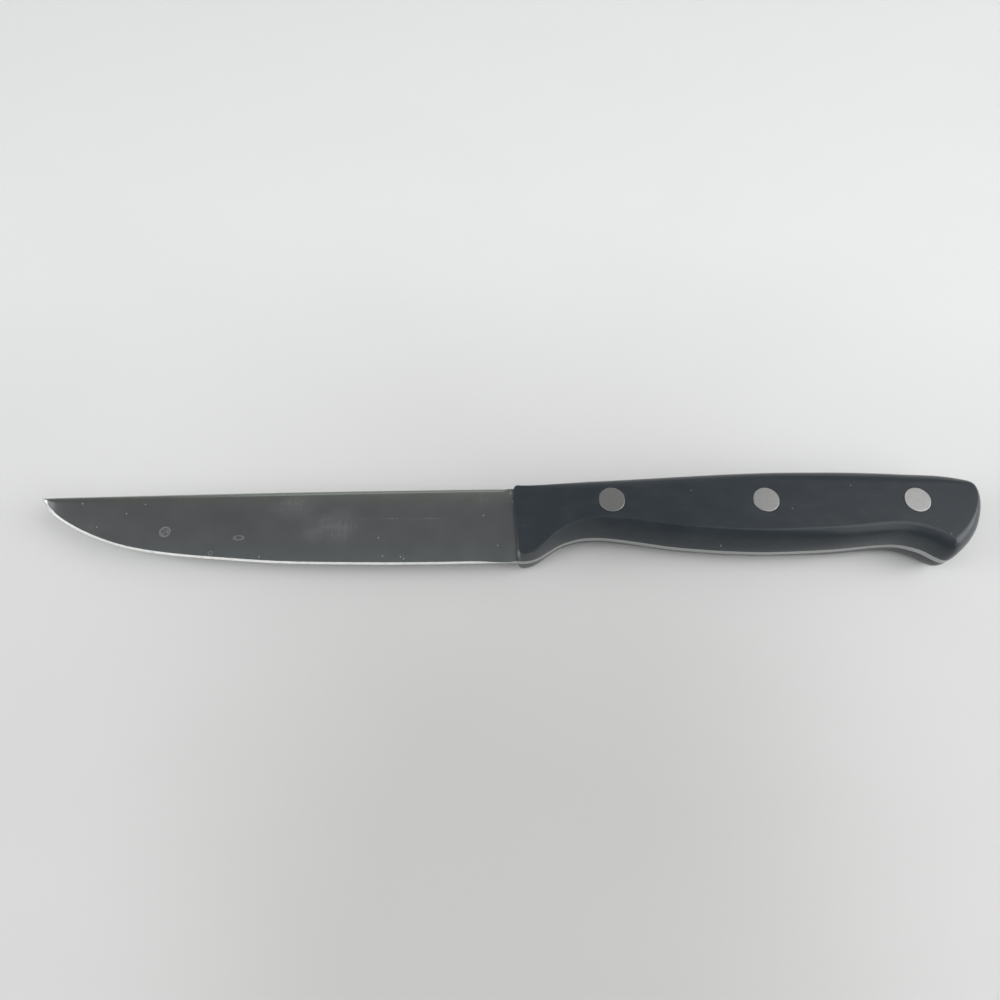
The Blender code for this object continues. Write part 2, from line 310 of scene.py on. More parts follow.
# The handle. Places are (distance from its front, height over the rivet line), and lists that end in At are
# (distance from its front, value).
handleShape = {
    "length": 116.1,
    "frontRake": 1.1,
    "frontHeight": 5.75,
    "guardDepth": 13.65,
    "topRise": (36.0, 8.26),
    "topShoulder": (55.0, 9.31),
    "topCrown": (69.0, 9.62),
    "topFall": (81.0, 9.38),
    "topTail": (95.0, 8.85),
    "topBack": (-7.1, 7.85),  # from the full length, down to tailHollow
    "buttCorner": (-1.85, 5.85),
    "buttEnd": (-0.7, 1.75),
    "buttSlope": (-2.9, -6.0),
    "buttLow": (-7.4, -11.3),
    "beak": (-11.3, -13.5),
    "tailSlope": (-16.8, -10.75),
    "tailHollow": (-22.3, -9.4),
    "bellyBack": (76.7, -10.7),
    "belly": (59.3, -11.3),
    "bellyFront": (41.0, -10.25),
    "fingerHollow": (19.0, -7.55),
    "fingerStep": (11.8, -9.0),
    "guardToe": (4.3, -13.3),
    "thickness": 14.7,
    "frontThickness": 10.4,
    "swellLength": 19.5,
    "topInsetAt": (
        (0, 1.0), (7, 1.6), (15, 2.35), (22, 2.65), (48, 2.7), (66, 2.7), (76, 3.1), (84, 3.5), (90, 3.6),
        (100, 3.6), (108, 3.3), (114.5, 2.4), (117, 2.3),
    ),
    "underInsetAt": (
        (0, 0.3), (5.5, 0.7), (12, 1.85), (19, 2.75), (27, 3.25), (48, 3.3), (70, 3.35), (80, 3.4), (90, 3.5),
        (100, 3.5), (106, 3.3), (111, 3.3), (113.2, 3.1), (115.4, 2.36), (117, 2.3),
    ),
    "topCreaseAt": (
        (0, 0.05), (1, 0.08), (2.5, 0.3), (5, 0.7), (10, 1.2), (18, 1.6), (26, 1.7), (66, 1.7), (84, 1.1),
        (95, 0.9), (105, 0.5), (112, 0.3), (117, 0.25),
    ),
    "underCreaseAt": (
        (0, 0.05), (1, 0.08), (2.5, 0.25), (5, 0.35), (12, 0.3), (17, 0.25), (24, 0.2), (45, 0.2), (58, 0.3),
        (70, 0.34), (78, 0.28), (88, 0.2), (100, 0.2), (117, 0.25),
    ),
    "wallPowerAt": ((0, 2), (66, 2), (84, 2.5), (117, 2.4)),
    "wallRestAt": ((0, 1), (66, 1), (84, 0.55), (117, 0.55)),  # 1 is a round arc, less turns in more on top
    "frontOverlap": 0.4,
    "frontInsets": (0.2, 0.5),  # at the front's top and low corners
    "bondGap": 0.05,
    "topCornerRound": 2.0,
    "lowCornerRound": 1.6,
    "stations": (90, 190, 110),  # to the finger hollow, on to the beak and on to the butt
    "cornerSteps": 14,
    "curveSteps": 40,
    "wallSteps": 14,
    "creaseSteps": 10,
    "flatCore": (10.0, 100.0, -1.0),  # from, to and height of the line that the flat's margin shrinks towards
    "flatMargin": 0.06,
    "foldSlack": 0.01,
    "foldShare": 0.6,
    "mergeGap": 0.004,
    "foldAngle": 130.0,  # degrees; sharper than this is a fold to even out
    "foldRounds": 6,
    "foldFactor": 0.5,
    "sharpAngle": 32.0,
}

frontTop = (-handleShape["frontRake"] / 2, handleShape["frontHeight"])
frontBottom = (handleShape["frontRake"] / 2, -handleShape["guardDepth"])


def fromButt(place):
    return (handleShape["length"] + handleShape[place][0], handleShape[place][1])


buttEnd = fromButt("buttEnd")


# The handle's top and lower outlines, each from the front to the butt
def handleLines():
    over = ("topRise", "topShoulder", "topCrown", "topFall", "topTail")
    back = ("topBack", "buttCorner")
    under = ("buttSlope", "buttLow", "beak", "tailSlope", "tailHollow")
    grip = ("bellyBack", "belly", "bellyFront", "fingerHollow", "fingerStep", "guardToe")
    upper = [frontTop, *[handleShape[place] for place in over], *[fromButt(place) for place in back]]
    lower = [*[fromButt(place) for place in under], *[handleShape[place] for place in grip], frontBottom]
    steps = handleShape["curveSteps"]
    line = smoothLine([*upper, buttEnd, *lower], steps)
    turn = steps * len(upper)
    return line[: turn + 1], line[turn:][::-1]


# Matching points on both outlines at the same share of the length, closer together at the front and the butt
def handleRungs(start):
    top, low = handleLines()
    beak, length = fromButt("beak")[0], buttEnd[0]
    hollow = handleShape["fingerHollow"][0]
    toHollow, toBeak, toButt = handleShape["stations"]
    x = np.concatenate([
        np.linspace(start, hollow, toHollow, endpoint=False),
        np.linspace(hollow, beak, toBeak, endpoint=False),
        beak + (length - beak) * np.sin(np.linspace(0, math.pi / 2, toButt)),
    ])
    rake = handleShape["frontRake"] / 2 * (1 - x / length)
    upper = np.column_stack([x - rake, heightOn(top, x - rake)])
    lower = np.column_stack([x + rake, heightOn(low, x + rake)])
    upper[-1] = lower[-1] = buttEnd
    return upper, lower


# A quadratic curve from one point to the other that bends towards the corner
def roundCorner(before, corner, after, steps):
    u = np.linspace(0, 1, steps)[:, None]
    return (1 - u) ** 2 * before + 2 * u * (1 - u) * corner + u * u * after


# The two outlines with the front's corners rounded
def scaleRungs():
    upper, lower = handleRungs(-handleShape["frontOverlap"])
    front = (upper[0] - lower[0]) / np.linalg.norm(upper[0] - lower[0])
    corners = ((upper, handleShape["topCornerRound"], -1), (lower, handleShape["lowCornerRound"], 1))
    rounded = []
    for line, radius, side in corners:
        past = np.linalg.norm(line - line[0], axis=1) > radius
        start = line[0] + side * radius * front
        corner = roundCorner(start, line[0], line[past][0], handleShape["cornerSteps"])
        rounded.append((line, past, corner))
    past = rounded[0][1] & rounded[1][1]
    return [np.vstack([corner[:-1], line[past]]) for line, _, corner in rounded]


# Half the handle's thickness, eased from the front's to the full one
def halfThickness(x):
    front, full = handleShape["frontThickness"], handleShape["thickness"]
    return (front + (full - front) * ease(x / handleShape["swellLength"])) / 2


# A value that runs smoothly through a list of (x, value)
def valueAlong(knots, x):
    return heightOn(smoothLine(knots, handleShape["curveSteps"]), x)


# How far the walls lean in, for the points of the top outline and for those of the lower one
def wallInsets(upper, lower):
    top = valueAlong(handleShape["topInsetAt"], upper[:, 0])
    under = valueAlong(handleShape["underInsetAt"], lower[:, 0])
    corner = handleShape["cornerSteps"]
    for insets, start in zip((top, under), handleShape["frontInsets"]):
        insets[:corner] = np.linspace(start, insets[corner], corner)
    return top, under


# The outline moved inwards by reach along its normals. A point that comes nearer than that to another stretch
# of the outline lies in a fold: it moves to the line between the last clear points on both sides. Where the
# reach changes along the outline by the share g, a clear point may come nearer by about half of reach times
# g squared, and foldShare leaves a little room over that.
def inwardLine(outline, reach):
    ahead = np.roll(outline, -1, axis=0) - np.roll(outline, 1, axis=0)
    steps = np.linalg.norm(ahead, axis=1)
    ahead /= steps[:, None]
    moved = outline + np.column_stack([ahead[:, 1], -ahead[:, 0]]) * reach[:, None]
    change = (np.roll(reach, -1) - np.roll(reach, 1)) / steps
    nearest = reach - handleShape["foldSlack"] - handleShape["foldShare"] * reach * change**2
    gap = np.linalg.norm(moved[:, None] - outline[None], axis=2)
    clear = (gap > nearest[None]).all(axis=1)
    index = np.arange(len(outline))
    axes = [np.interp(index, index[clear], moved[clear, axis], period=len(index)) for axis in (0, 1)]
    return np.column_stack(axes)


# A handle scale. The wall is part of a superellipse of power p that starts upright at the tang and has leaned
# in by the inset at the flat side: at height h the distance from the outline is inset / (1 - w) times
# 1 - (1 - (1 - w^p) (h / half)^p)^(1/p). With p = 2 and t = inset / half, w = (1 - t^2) / (1 + t^2) is a
# round arc. A quadratic crease eases it into the flat side.
def scalePoints(side):
    upper, lower = scaleRungs()
    top, under = wallInsets(upper, lower)
    outline = np.vstack([upper, lower[-2::-1]])
    inset = np.concatenate([top, under[-2::-1]])
    half = halfThickness(outline[:, 0])
    topCrease = valueAlong(handleShape["topCreaseAt"], upper[:, 0])
    underCrease = valueAlong(handleShape["underCreaseAt"], lower[:, 0])
    crease = np.concatenate([topCrease, underCrease[-2::-1]])
    p = valueAlong(handleShape["wallPowerAt"], outline[:, 0])
    ratio = (inset / half) ** 2
    w = (1 - ratio) / (1 + ratio) * valueAlong(handleShape["wallRestAt"], outline[:, 0])
    seat = bladeShape["tangThickness"] / 2 + handleShape["bondGap"]

    def left(height):
        return 1 - (1 - w**p) * (height / half) ** p

    def wall(height):
        return inset / (1 - w) * (1 - left(height) ** (1 / p))

    def wallSlope(height):
        return inset / (1 - w) * (1 - w**p) * (height / half) ** (p - 1) / half * left(height) ** (1 / p - 1)

    def ring(distance, height):
        return np.column_stack([inwardLine(outline, distance), side * height])

    topOfWall = half - crease
    bend = wall(topOfWall) + crease * wallSlope(topOfWall)
    rings = []
    for share in np.linspace(0, 1, handleShape["wallSteps"] + 1):
        height = seat + (topOfWall - seat) * share
        rings.append(ring(wall(height), height))
    for share in np.linspace(0, 1, handleShape["creaseSteps"] + 1)[1:]:
        start, middle, finish = (1 - share) ** 2, 2 * share * (1 - share), share**2
        distance = start * wall(topOfWall) + middle * bend + finish * (inset + crease)
        rings.append(ring(distance, start * topOfWall + (middle + finish) * half))
    start, finish, level = handleShape["flatCore"]
    edge = rings[-1]
    core = np.column_stack([np.clip(edge[:, 0], start, finish), np.full(len(edge), level), edge[:, 2]])
    margin = edge + handleShape["flatMargin"] * (core - edge)
    margin[:, 2] += side * (halfThickness(margin[:, 0]) - halfThickness(edge[:, 0]))
    rings.append(margin)
    swelling = np.count_nonzero(upper[:, 0] < handleShape["swellLength"])
    return np.stack(rings), swelling


# The flat side: rungs across it while it swells, then one face back to the butt
def flatFaces(ring, swelling):
    top, low = ring[: swelling + 1], ring[::-1][: swelling + 1]
    ladder = np.stack([top[:-1], top[1:], low[1:], low[:-1]], axis=-1)
    return [*ladder.tolist(), ring[swelling : len(ring) - swelling].tolist()]


# In the looks, a cloud is a patch's size along X, Y and Z, then the noise's detail and roughness. Dots are a
# cell's width, the dot's radius and the share of cells that have one. A bump is a strength and a depth in
# metres.
plasticLook = {
    "dark": (0.023, 0.030, 0.0365, 1),
    "light": (0.029, 0.0365, 0.0435, 1),
    "frontSheenSpan": (5.0, 25.0),  # painted sheen: lighter towards both ends of the handle, where the light falls
    "buttEnd": (80.0, 112.0),
    "endSheenShare": 0.7,
    "grain": ((0.09, 0.09, 0.09), 2.0, 0.6),
    "patch": ((7.0, 4.0, 4.0), 4.0, 0.6),
    "patchSpan": (0.3, 0.7),
    "patchShare": 0.8,
    "stroke": ((5.0, 0.25, 0.25), 3.0, 0.65),
    "scuff": (0.077, 0.082, 0.086, 1),
    "rubSpan": (0.30, 0.46),
    "rubStrength": 0.25,
    "dust": (0.33, 0.345, 0.355, 1),
    "dots": (6.0, 0.1, 0.25),
    "dotStrength": 0.35,
    "specks": ((104.0, -8.9), (42.9, 2.4), (82.3, 3.8), (49.8, -10.4), (67.0, -2.4)),
    "speckRadius": 0.17,
    "speckEdge": (0.6, 1.0),
    "speckStrength": 0.6,
    "roughness": 0.33,
    "patchRoughness": 0.10,
    "grainRoughness": 0.08,
    "rubRoughness": 0.08,
    "dustRoughness": 0.3,
    "bump": (0.25, 0.000008),
    "strokeHeight": 0.5,
}


# Black handle plastic: fine moulded grain, faint rubbing strokes along the grip, a few specks of dust, and a
# painted sheen that lightens both ends
def blackPlastic():
    look = plasticLook
    material, shader = newMaterial("black_plastic", {"IOR": 1.44})
    place, x, y, z = knifePlace(material)
    grain, patch, stroke = clouds(place, look, ("grain", "patch", "stroke"))
    rubbed = (stroke * patch).between(*look["rubSpan"])
    dust = dustSpecks(place, x, y, z, look)
    # Painted sheen: the body is mixed lighter towards both ends of the handle, where light falls on it
    ends = 1 - x.between(*look["frontSheenSpan"]) + x.between(*look["buttEnd"])
    share = look["patchShare"] * patch.between(*look["patchSpan"]) + look["endSheenShare"] * ends
    body = mixColours(share, look["dark"], look["light"])
    worn = mixColours(rubbed * look["rubStrength"], body, look["scuff"])
    uneven = look["patchRoughness"] * patch.stray() + look["grainRoughness"] * grain.stray()
    dulled = look["rubRoughness"] * rubbed + look["dustRoughness"] * dust
    feed(shader, {
        "Base Color": mixColours(dust, worn, look["dust"]),
        "Roughness": look["roughness"] + uneven + dulled,
        "Normal": bumped(grain + look["strokeHeight"] * stroke, *look["bump"]),
    })
    return material


# One scale: the lofted wall, a flat underside, the flat top, and three stepped holes for the rivets
def makeScale(word, side, material):
    shape = handleShape
    points, swelling = scalePoints(side)
    rows, columns = points.shape[:2]
    ring = np.arange(columns)
    walls = gridFaces(rows, columns).tolist()
    faces = [*walls, ring.tolist(), *flatFaces(ring + (rows - 1) * columns, swelling)]
    name = f"{word}_scale_moulding"
    scale = newPiece(name, points, faces, shape["sharpAngle"], [material], mergeGap=shape["mergeGap"])
    unfold(scale, shape["foldAngle"], shape["foldRounds"], shape["foldFactor"])
    face = shape["thickness"] / 2
    shank = rivetShape["tubeRadius"] + rivetShape["fitGap"]
    head = rivetShape["headRadius"] + rivetShape["holeGap"]
    seat = face - rivetShape["headThickness"] - rivetShape["fitGap"]
    chamfer, past = rivetShape["holeChamfer"], rivetShape["cutterPast"]
    mouth = [(head + chamfer, face + past), (head + chamfer, face), (head, face - chamfer), (head, seat)]
    profile = [(0, face + past), *mouth, (shank, seat), (shank, -past), (0, -past)]
    profile = [(radius, side * height) for radius, height in profile]
    cutter = turnedPiece(f"{word}_hole_cutter", profile, rivetPlaces.values(), [])
    cutHoles(scale, cutter, shape["sharpAngle"])
    finishPiece(scale, f"{word}_handle_scale")


# The blade and the tang. Places are (distance from the handle's front, height over the rivet line).
bladeShape = {
    "length": 120.6,
    "tipHeight": 3.54,
    "spineMiddle": (-61.0, 5.05),
    "spineAtHeel": 5.95,
    "pointCurve": (4.9, -1.6),  # from the tip
    "pointBelly": (21.9, -9.35),  # from the tip
    "edgeSweep": (-67.0, -13.35),
    "edgeBelly": (-40.0, -14.195),
    "tangThickness": 1.8,
    "thicknessAtTip": 0.95,
    "bevelWidth": (0.45, 0.50),  # near the tip and along the belly
    "bevelGrowth": 30.0,
    "bevelShare": 0.35,  # of the height at the very tip
    "faceAngle": 5.0,  # the face leans no more than this at the very tip, in degrees
    "bevelAngle": 22.0,  # degrees
    "edgeLand": 0.04,
    "heelRunout": 2.5,
    "bevelEnd": -1.8,  # the ground edge stops this far before the handle
    "bevelTaper": 9.0,
    "spineRound": (1.3, 0.85),  # down the face, at the tip and at the heel
    "spineRoundIn": (0.42, 0.33),  # into the spine, at the tip and at the heel
    "roundLimits": (0.3, 0.7),  # shares of the height and of the half thickness that a rounding may take
    "spineCurve": 1.4,  # 1 is a straight chamfer, 2 an oval
    "tangRound": (0.06, 0.06),
    "stations": 420,
    "heelStations": 30,
    "tipCrowding": 1.5,
    "curveSteps": 200,
    "roundSteps": 10,
    "faceSteps": 8,
    "bevelSteps": 3,
    "leastHeight": 1e-9,
    "sharpAngle": 14.0,
}


# Matching points on the spine and the edge, from the tip to the handle's front
def bladeRungs():
    shape = bladeShape
    length, steps = shape["length"], shape["curveSteps"]
    tip = (-length, shape["tipHeight"])
    spine = smoothLine([tip, shape["spineMiddle"], (frontTop[0], shape["spineAtHeel"])], steps)
    point = [(shape[place][0] - length, shape[place][1]) for place in ("pointCurve", "pointBelly")]
    edge = smoothLine([tip, *point, shape["edgeSweep"], shape["edgeBelly"], frontBottom], steps)
    heelStart = 1 - shape["heelRunout"] / length
    share = np.concatenate([
        np.linspace(0, 1, shape["stations"], endpoint=False) ** shape["tipCrowding"] * heelStart,
        np.linspace(heelStart, 1, shape["heelStations"]),
    ])
    xSpine = share * (frontTop[0] + length) - length
    xEdge = share * (frontBottom[0] + length) - length
    upper = np.column_stack([xSpine, heightOn(spine, xSpine)])
    lower = np.column_stack([xEdge, heightOn(edge, xEdge)])
    return upper, lower


# Sections of steel: spine corner, flat face down to the shoulder, flat bevel down to the edge. The corner
# is a superellipse: the power spineCurve of both shares adds up to 1.
# Rows go from the spine's middle down the left side to the edge's middle, then up the right side.
def steelSections(upper, shoulder, lower, halfSpine, halfShoulder, halfEdge, roundDown, roundIn):
    shape = bladeShape
    drop = np.linalg.norm(upper - shoulder, axis=1)
    down = (shoulder - upper) / np.maximum(drop, shape["leastHeight"])[:, None]
    downLimit, inLimit = shape["roundLimits"]
    roundDown = np.minimum(roundDown, downLimit * drop)
    roundIn = np.minimum(roundIn, inLimit * halfSpine)
    power = 2 / shape["spineCurve"]
    rows = [np.column_stack([upper, 0 * halfSpine])]
    for angle in np.linspace(0, math.pi / 2, shape["roundSteps"]):
        along = roundDown * (1 - max(math.cos(angle), 0) ** power)
        across = halfSpine - roundIn * (1 - math.sin(angle) ** power)
        rows.append(np.column_stack([upper + down * along[:, None], across]))
    for share in np.linspace(0, 1, shape["faceSteps"] + 1)[1:]:
        along = roundDown + (drop - roundDown) * share
        across = halfSpine + (halfShoulder - halfSpine) * share
        rows.append(np.column_stack([upper + down * along[:, None], across]))
    for share in np.linspace(0, 1, shape["bevelSteps"] + 1)[1:]:
        flat = shoulder + (lower - shoulder) * share
        rows.append(np.column_stack([flat, halfShoulder + (halfEdge - halfShoulder) * share]))
    edge = np.column_stack([lower, 0 * halfEdge])
    right = [row * (1, 1, -1) for row in rows[:0:-1]]
    return np.stack([*rows, edge, *right], axis=1)


# The blade: the spine thins evenly to the tip, the bevel keeps its angle and narrows to nothing at the heel
def bladeSections():
    shape = bladeShape
    upper, lower = bladeRungs()
    along = np.gradient(lower, axis=0)
    along /= np.linalg.norm(along, axis=1)[:, None]
    inward = np.column_stack([-along[:, 1], along[:, 0]])
    drop = (upper - lower)[:, 1] * inward[:, 1]
    rise = math.tan(math.radians(shape["bevelAngle"]))
    land = shape["edgeLand"] / 2
    narrow, wide = shape["bevelWidth"]
    full = narrow + (wide - narrow) * ease((lower[:, 0] + shape["length"]) / shape["bevelGrowth"])
    full = np.minimum(full, shape["bevelShare"] * drop)
    width = full * ease((shape["bevelEnd"] - lower[:, 0]) / shape["bevelTaper"])
    shoulder = lower + inward * width[:, None]
    halfShoulder = land + full * rise
    halfEdge = halfShoulder - width * rise
    ends = (-shape["length"], 0)
    thickness = np.interp(upper[:, 0], ends, (shape["thicknessAtTip"], shape["tangThickness"]))
    halfSpine = np.minimum(thickness / 2, halfShoulder + drop * math.tan(math.radians(shape["faceAngle"])))
    runout = ease(lower[:, 0] / shape["heelRunout"] + 1)
    halfTang = shape["tangThickness"] / 2
    halves = [half + runout * (halfTang - half) for half in (halfSpine, halfShoulder, halfEdge)]
    blends = [np.interp(upper[:, 0], ends, shape[way]) for way in ("spineRound", "spineRoundIn")]
    rounds = [blade + runout * (tang - blade) for blade, tang in zip(blends, shape["tangRound"])]
    return steelSections(upper, shoulder, lower, *halves, *rounds)


# The tang: flat steel with the handle's own outline
def tangSections():
    upper, lower = handleRungs(0)
    half = np.full(len(upper), bladeShape["tangThickness"] / 2)
    return steelSections(upper, (upper + lower) / 2, lower, half, half, half, *bladeShape["tangRound"])


steelLook = {
    "dark": (0.405, 0.423, 0.423, 1),
    "light": (0.486, 0.505, 0.505, 1),
    "tone": 0.4,  # from dark to light, and how far each cloud moves it
    "bandTone": 0.5,
    "patchTone": 1.0,
    "grindTone": 0.5,
    "grind": ((0.12, 9.0, 9.0), 3.0, 0.6),  # marks that run from the spine to the edge
    "band": ((1.1, 26.0, 26.0), 2.0, 0.5),
    "patch": ((9.0, 6.0, 6.0), 4.0, 0.6),
    "mottle": ((0.45, 0.45, 0.45), 3.0, 0.7),
    "spineReflectionTint": (1.12, 1.15, 1.06, 1),
    "faceReflectionTint": (0.945, 0.955, 0.99, 1),
    "edgeReflectionTint": (0.965, 1.025, 1.04, 1),
    "spineSpan": (-1.0, 5.0),  # painted reflection: from the face's tint to the spine's lighter olive one
    "edgeSpan": (-13.0, -7.0),  # painted reflection: from the edge's bluish tint to the face's
    "rimShadeTint": (0.80, 0.82, 0.77, 1),  # painted shade along the spine's rounded rim, dimming its reflection
    "rimSlope": 0.0149,  # of the spine line
    "rimSpan": (5.0, 5.35),  # the painted shade fades in between these heights, as measured at the handle
    "rimStart": (-85.0, -50.0),
    "tang": (0.36, 0.37, 0.37, 1),
    "lime": (0.27, 0.28, 0.27, 1),
    "rings": (  # middle and radii, strength of the line and of the inside
        ((-87.6, -5.7, 1.2, 1.2), 0.9, 0.55),
        ((-69.0, -7.3, 1.15, 0.55), 0.9, 0.1),
        ((-75.4, -11.3, 0.55, 0.5), 0.6, 0.15),
    ),
    "ringLine": (0.05, 0.3),  # fades out between these shares of the radius, on both sides of the line
    "ringFill": (0.8, 1.0),
    "fillMottle": (0.42, 0.6),
    "limeMottle": (0.25, 0.5),
    "limeStrength": 0.42,
    "hazes": (((-47.0, -3.9, 10.0, 6.2), 1.0), ((-55.5, 0.7, 9.5, 4.6), 0.75)),
    "hazePatch": (0.1, 0.7),
    "hazeGrind": (0.35, 0.65),
    "hazeFloor": 0.6,
    "hazeStrength": 0.2,
    "scratch": (-53.0, -15.0, -2.2),  # from, to and height
    "scratchEnds": 6.0,
    "scratchWidth": (0.05, 0.16),
    "scratchBreaks": (0.3, 0.6),
    "scratchFloor": 0.5,
    "scratchStrength": 0.09,
    "speck": (0.60, 0.61, 0.60, 1),
    "dots": (5.0, 0.11, 0.3),
    "dotStrength": 0.3,
    "specks": (
        (-109.8, 1.95), (-104.9, -4.35), (-93.8, 1.7), (-98.1, -0.8), (-63.3, -12.3), (-34.2, -7.3),
        (-32.9, -12.1), (-28.5, -12.3), (-27.7, -12.8), (-8.2, -1.4), (-4.6, -9.3), (-1.3, 4.6), (-0.9, 2.3),
    ),
    "speckRadius": 0.16,
    "speckEdge": (0.6, 1.0),
    "speckStrength": 0.8,
    "roughness": 0.26,
    "grindRoughness": 0.04,
    "patchRoughness": 0.04,
    "dustRoughness": 0.1,
    "bump": (0.08, 0.000006),
    "bandHeight": 0.6,
}


# Dried water rings: a line on each oval, with a mottled inside
def waterRings(x, y, mottle):
    look = steelLook
    lime = 0.0
    for oval, line, inside in look["rings"]:
        reach = ovalReach(x, y, oval)
        ring = (1 - abs(reach - 1).between(*look["ringLine"])) * line
        fill = (1 - reach.between(*look["ringFill"])) * mottle.between(*look["fillMottle"]) * inside
        lime = ring.orElse(fill).orElse(lime)
    return lime * mottle.between(*look["limeMottle"])


# Hazy ovals, strongest in the middle and broken up by the patches and the grinding marks
def hazyPatches(x, y, patch, grind):
    look = steelLook
    haze = 0.0
    for oval, strength in look["hazes"]:
        haze = ((1 - ovalReach(x, y, oval).between(0.0, 1.0)) * strength).orElse(haze)
    breaks = grind.between(*look["hazeGrind"]).atLeast(look["hazeFloor"])
    return haze * patch.between(*look["hazePatch"]) * breaks


# One long faint scratch, broken up by the bands
def longScratch(x, y, band):
    look = steelLook
    start, finish, height = look["scratch"]
    along = (x - start).between(0, look["scratchEnds"]) * (finish - x).between(0, look["scratchEnds"])
    breaks = band.between(*look["scratchBreaks"]).atLeast(look["scratchFloor"])
    return (1 - abs(y - height).between(*look["scratchWidth"])) * along * breaks


# Satin steel, ground from spine to edge, with dried water rings, haze, a scratch and specks on the upper
# side, and painted reflection tones: olive towards the spine, bluish towards the edge, shaded along the
# spine's rim
def satinSteel():
    look = steelLook
    material, shader = newMaterial("satin_steel", {})
    place, x, y, z = knifePlace(material)
    grind, band, patch, mottle = clouds(place, look, ("grind", "band", "patch", "mottle"))
    lime = waterRings(x, y, mottle) * look["limeStrength"]
    scratch = longScratch(x, y, band) * look["scratchStrength"]
    haze = hazyPatches(x, y, patch, grind) * look["hazeStrength"]
    dust = lime.orElse(scratch).orElse(haze) * (z > 0)
    specks = dustSpecks(place, x, y, z, look)
    tone = look["tone"] + look["bandTone"] * band.stray() + look["patchTone"] * patch.stray()
    tone = tone + look["grindTone"] * grind.stray()
    # Painted reflection: the steel is tinted lighter and olive towards the spine and bluish towards the edge
    tint = mixColours(y.between(*look["edgeSpan"]), look["edgeReflectionTint"], look["faceReflectionTint"])
    tint = mixColours(y.between(*look["spineSpan"]), tint, look["spineReflectionTint"])
    # Painted shade along the spine's rounded rim, dimming its reflection
    rim = (y - look["rimSlope"] * x).between(*look["rimSpan"]) * x.between(*look["rimStart"])
    tint = mixColours(rim, tint, look["rimShadeTint"])
    blade = tinted(mixColours(tone, look["dark"], look["light"]), tint)
    steel = mixColours(x > 0, blade, look["tang"])
    uneven = look["grindRoughness"] * grind.stray() + look["patchRoughness"] * patch.stray()
    feed(shader, {
        "Base Color": mixColours(specks, mixColours(dust, steel, look["lime"]), look["speck"]),
        "Metallic": 1 - dust.orElse(specks),
        "Roughness": look["roughness"] + uneven + look["dustRoughness"] * dust,
        "Normal": bumped(grind + look["bandHeight"] * band, *look["bump"]),
    })
    return material


edgeLook = {
    "bright": (0.70, 0.70, 0.69, 1),
    "dull": (0.50, 0.50, 0.49, 1),
    "strokeDulls": 0.7,
    "nickDulls": 0.6,
    "tipShadeDulls": 0.4,
    "dullSpan": (0.55, 0.95),
    "worn": (-121.0, -80.0),  # painted shade: duller from the tip to here, dimming the bevel's reflection
    # painted shade: the bevel's last millimetres at the tip darkened, dimming its glint
    "tip": (0.22, 0.22, 0.22, 1),
    "tipShadeLength": (-121.0, -115.5),
    "stroke": ((0.16, 1.6, 1.6), 3.0, 0.6),
    "nick": ((1.4, 0.6, 0.6), 3.0, 0.6),
    "roughness": 0.42,
    "strokeRoughness": 0.15,
    "bump": (0.5, 0.00001),
}


# The sharpened bevel: bright steel with fine strokes of the stone across it, with painted shade that dulls it
# towards the tip and darkens the very tip
def sharpenedSteel():
    look = edgeLook
    material, shader = newMaterial("sharpened_steel", {"Metallic": 1.0})
    place, x = knifePlace(material)[:2]
    stroke, nick = clouds(place, look, ("stroke", "nick"))
    # Painted shade: worn is the bevel dulled towards the tip and tip its darkened end, both dimming its
    # reflection, not wear
    worn = 1 - x.between(*look["worn"])
    dull = look["strokeDulls"] * stroke + look["nickDulls"] * nick + look["tipShadeDulls"] * worn
    steel = mixColours(dull.between(*look["dullSpan"]), look["bright"], look["dull"])
    feed(shader, {
        "Base Color": mixColours(x.between(*look["tipShadeLength"]), look["tip"], steel),
        "Roughness": look["roughness"] + look["strokeRoughness"] * stroke,
        "Normal": bumped(stroke + nick, *look["bump"]),
    })
    return material


# Blade and tang in one blank. The bevel's faces have the second finish, and the tang has three holes.
def makeBlade(materials):
    points = np.concatenate([bladeSections(), tangSections()[1:]])
    points[[0, -1], :, 2] = 0  # the tip and the butt each close to a point
    rows, columns = points.shape[:2]
    firstBevel = bladeShape["roundSteps"] + bladeShape["faceSteps"]
    lastBevel = columns - firstBevel
    column = np.tile(np.arange(columns), rows - 1)
    ground = (column >= firstBevel) & (column < lastBevel)
    before = np.repeat(points[1:, columns // 2, 0] < bladeShape["bevelEnd"], columns)
    finishes = (ground & before).astype(np.int32)
    angle = bladeShape["sharpAngle"]
    blade = newPiece("blade_steel_body", points, gridFaces(rows, columns), angle, materials, finishes)
    radius = rivetShape["tubeRadius"] + rivetShape["tangHoleGap"]
    past = handleShape["thickness"]
    profile = [(0, past), (radius, past), (radius, -past), (0, -past)]
    cutHoles(blade, turnedPiece("tang_hole_cutter", profile, rivetPlaces.values(), []), angle)
    finishPiece(blade, "blade")


# The rivets. Heads and holes are the same at all three places.
rivetShape = {
    "frontPlace": 23.3,  # from the handle's front
    "pinRadius": 1.6,
    "tubeRadius": 2.3,
    "headRadius": 3.2,
    "headThickness": 2.2,
    "headRings": (0.5, 0.9),  # shares of the radius
    "rimRound": 0.07,
    "rimSteps": 8,
    "pinEndFromFace": 3.6,
    "fitGap": 0.05,
    "tubeEndGap": 0.3,
    "tangHoleGap": 0.2,
    "holeGap": 0.07,
    "holeChamfer": 0.1,
    "cutterPast": 1.0,
    "turns": 96,
    "sharpAngle": 30.0,
}


def boxMiddle(node):
    low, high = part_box(node)
    return np.array(low + high) / 2 * metre


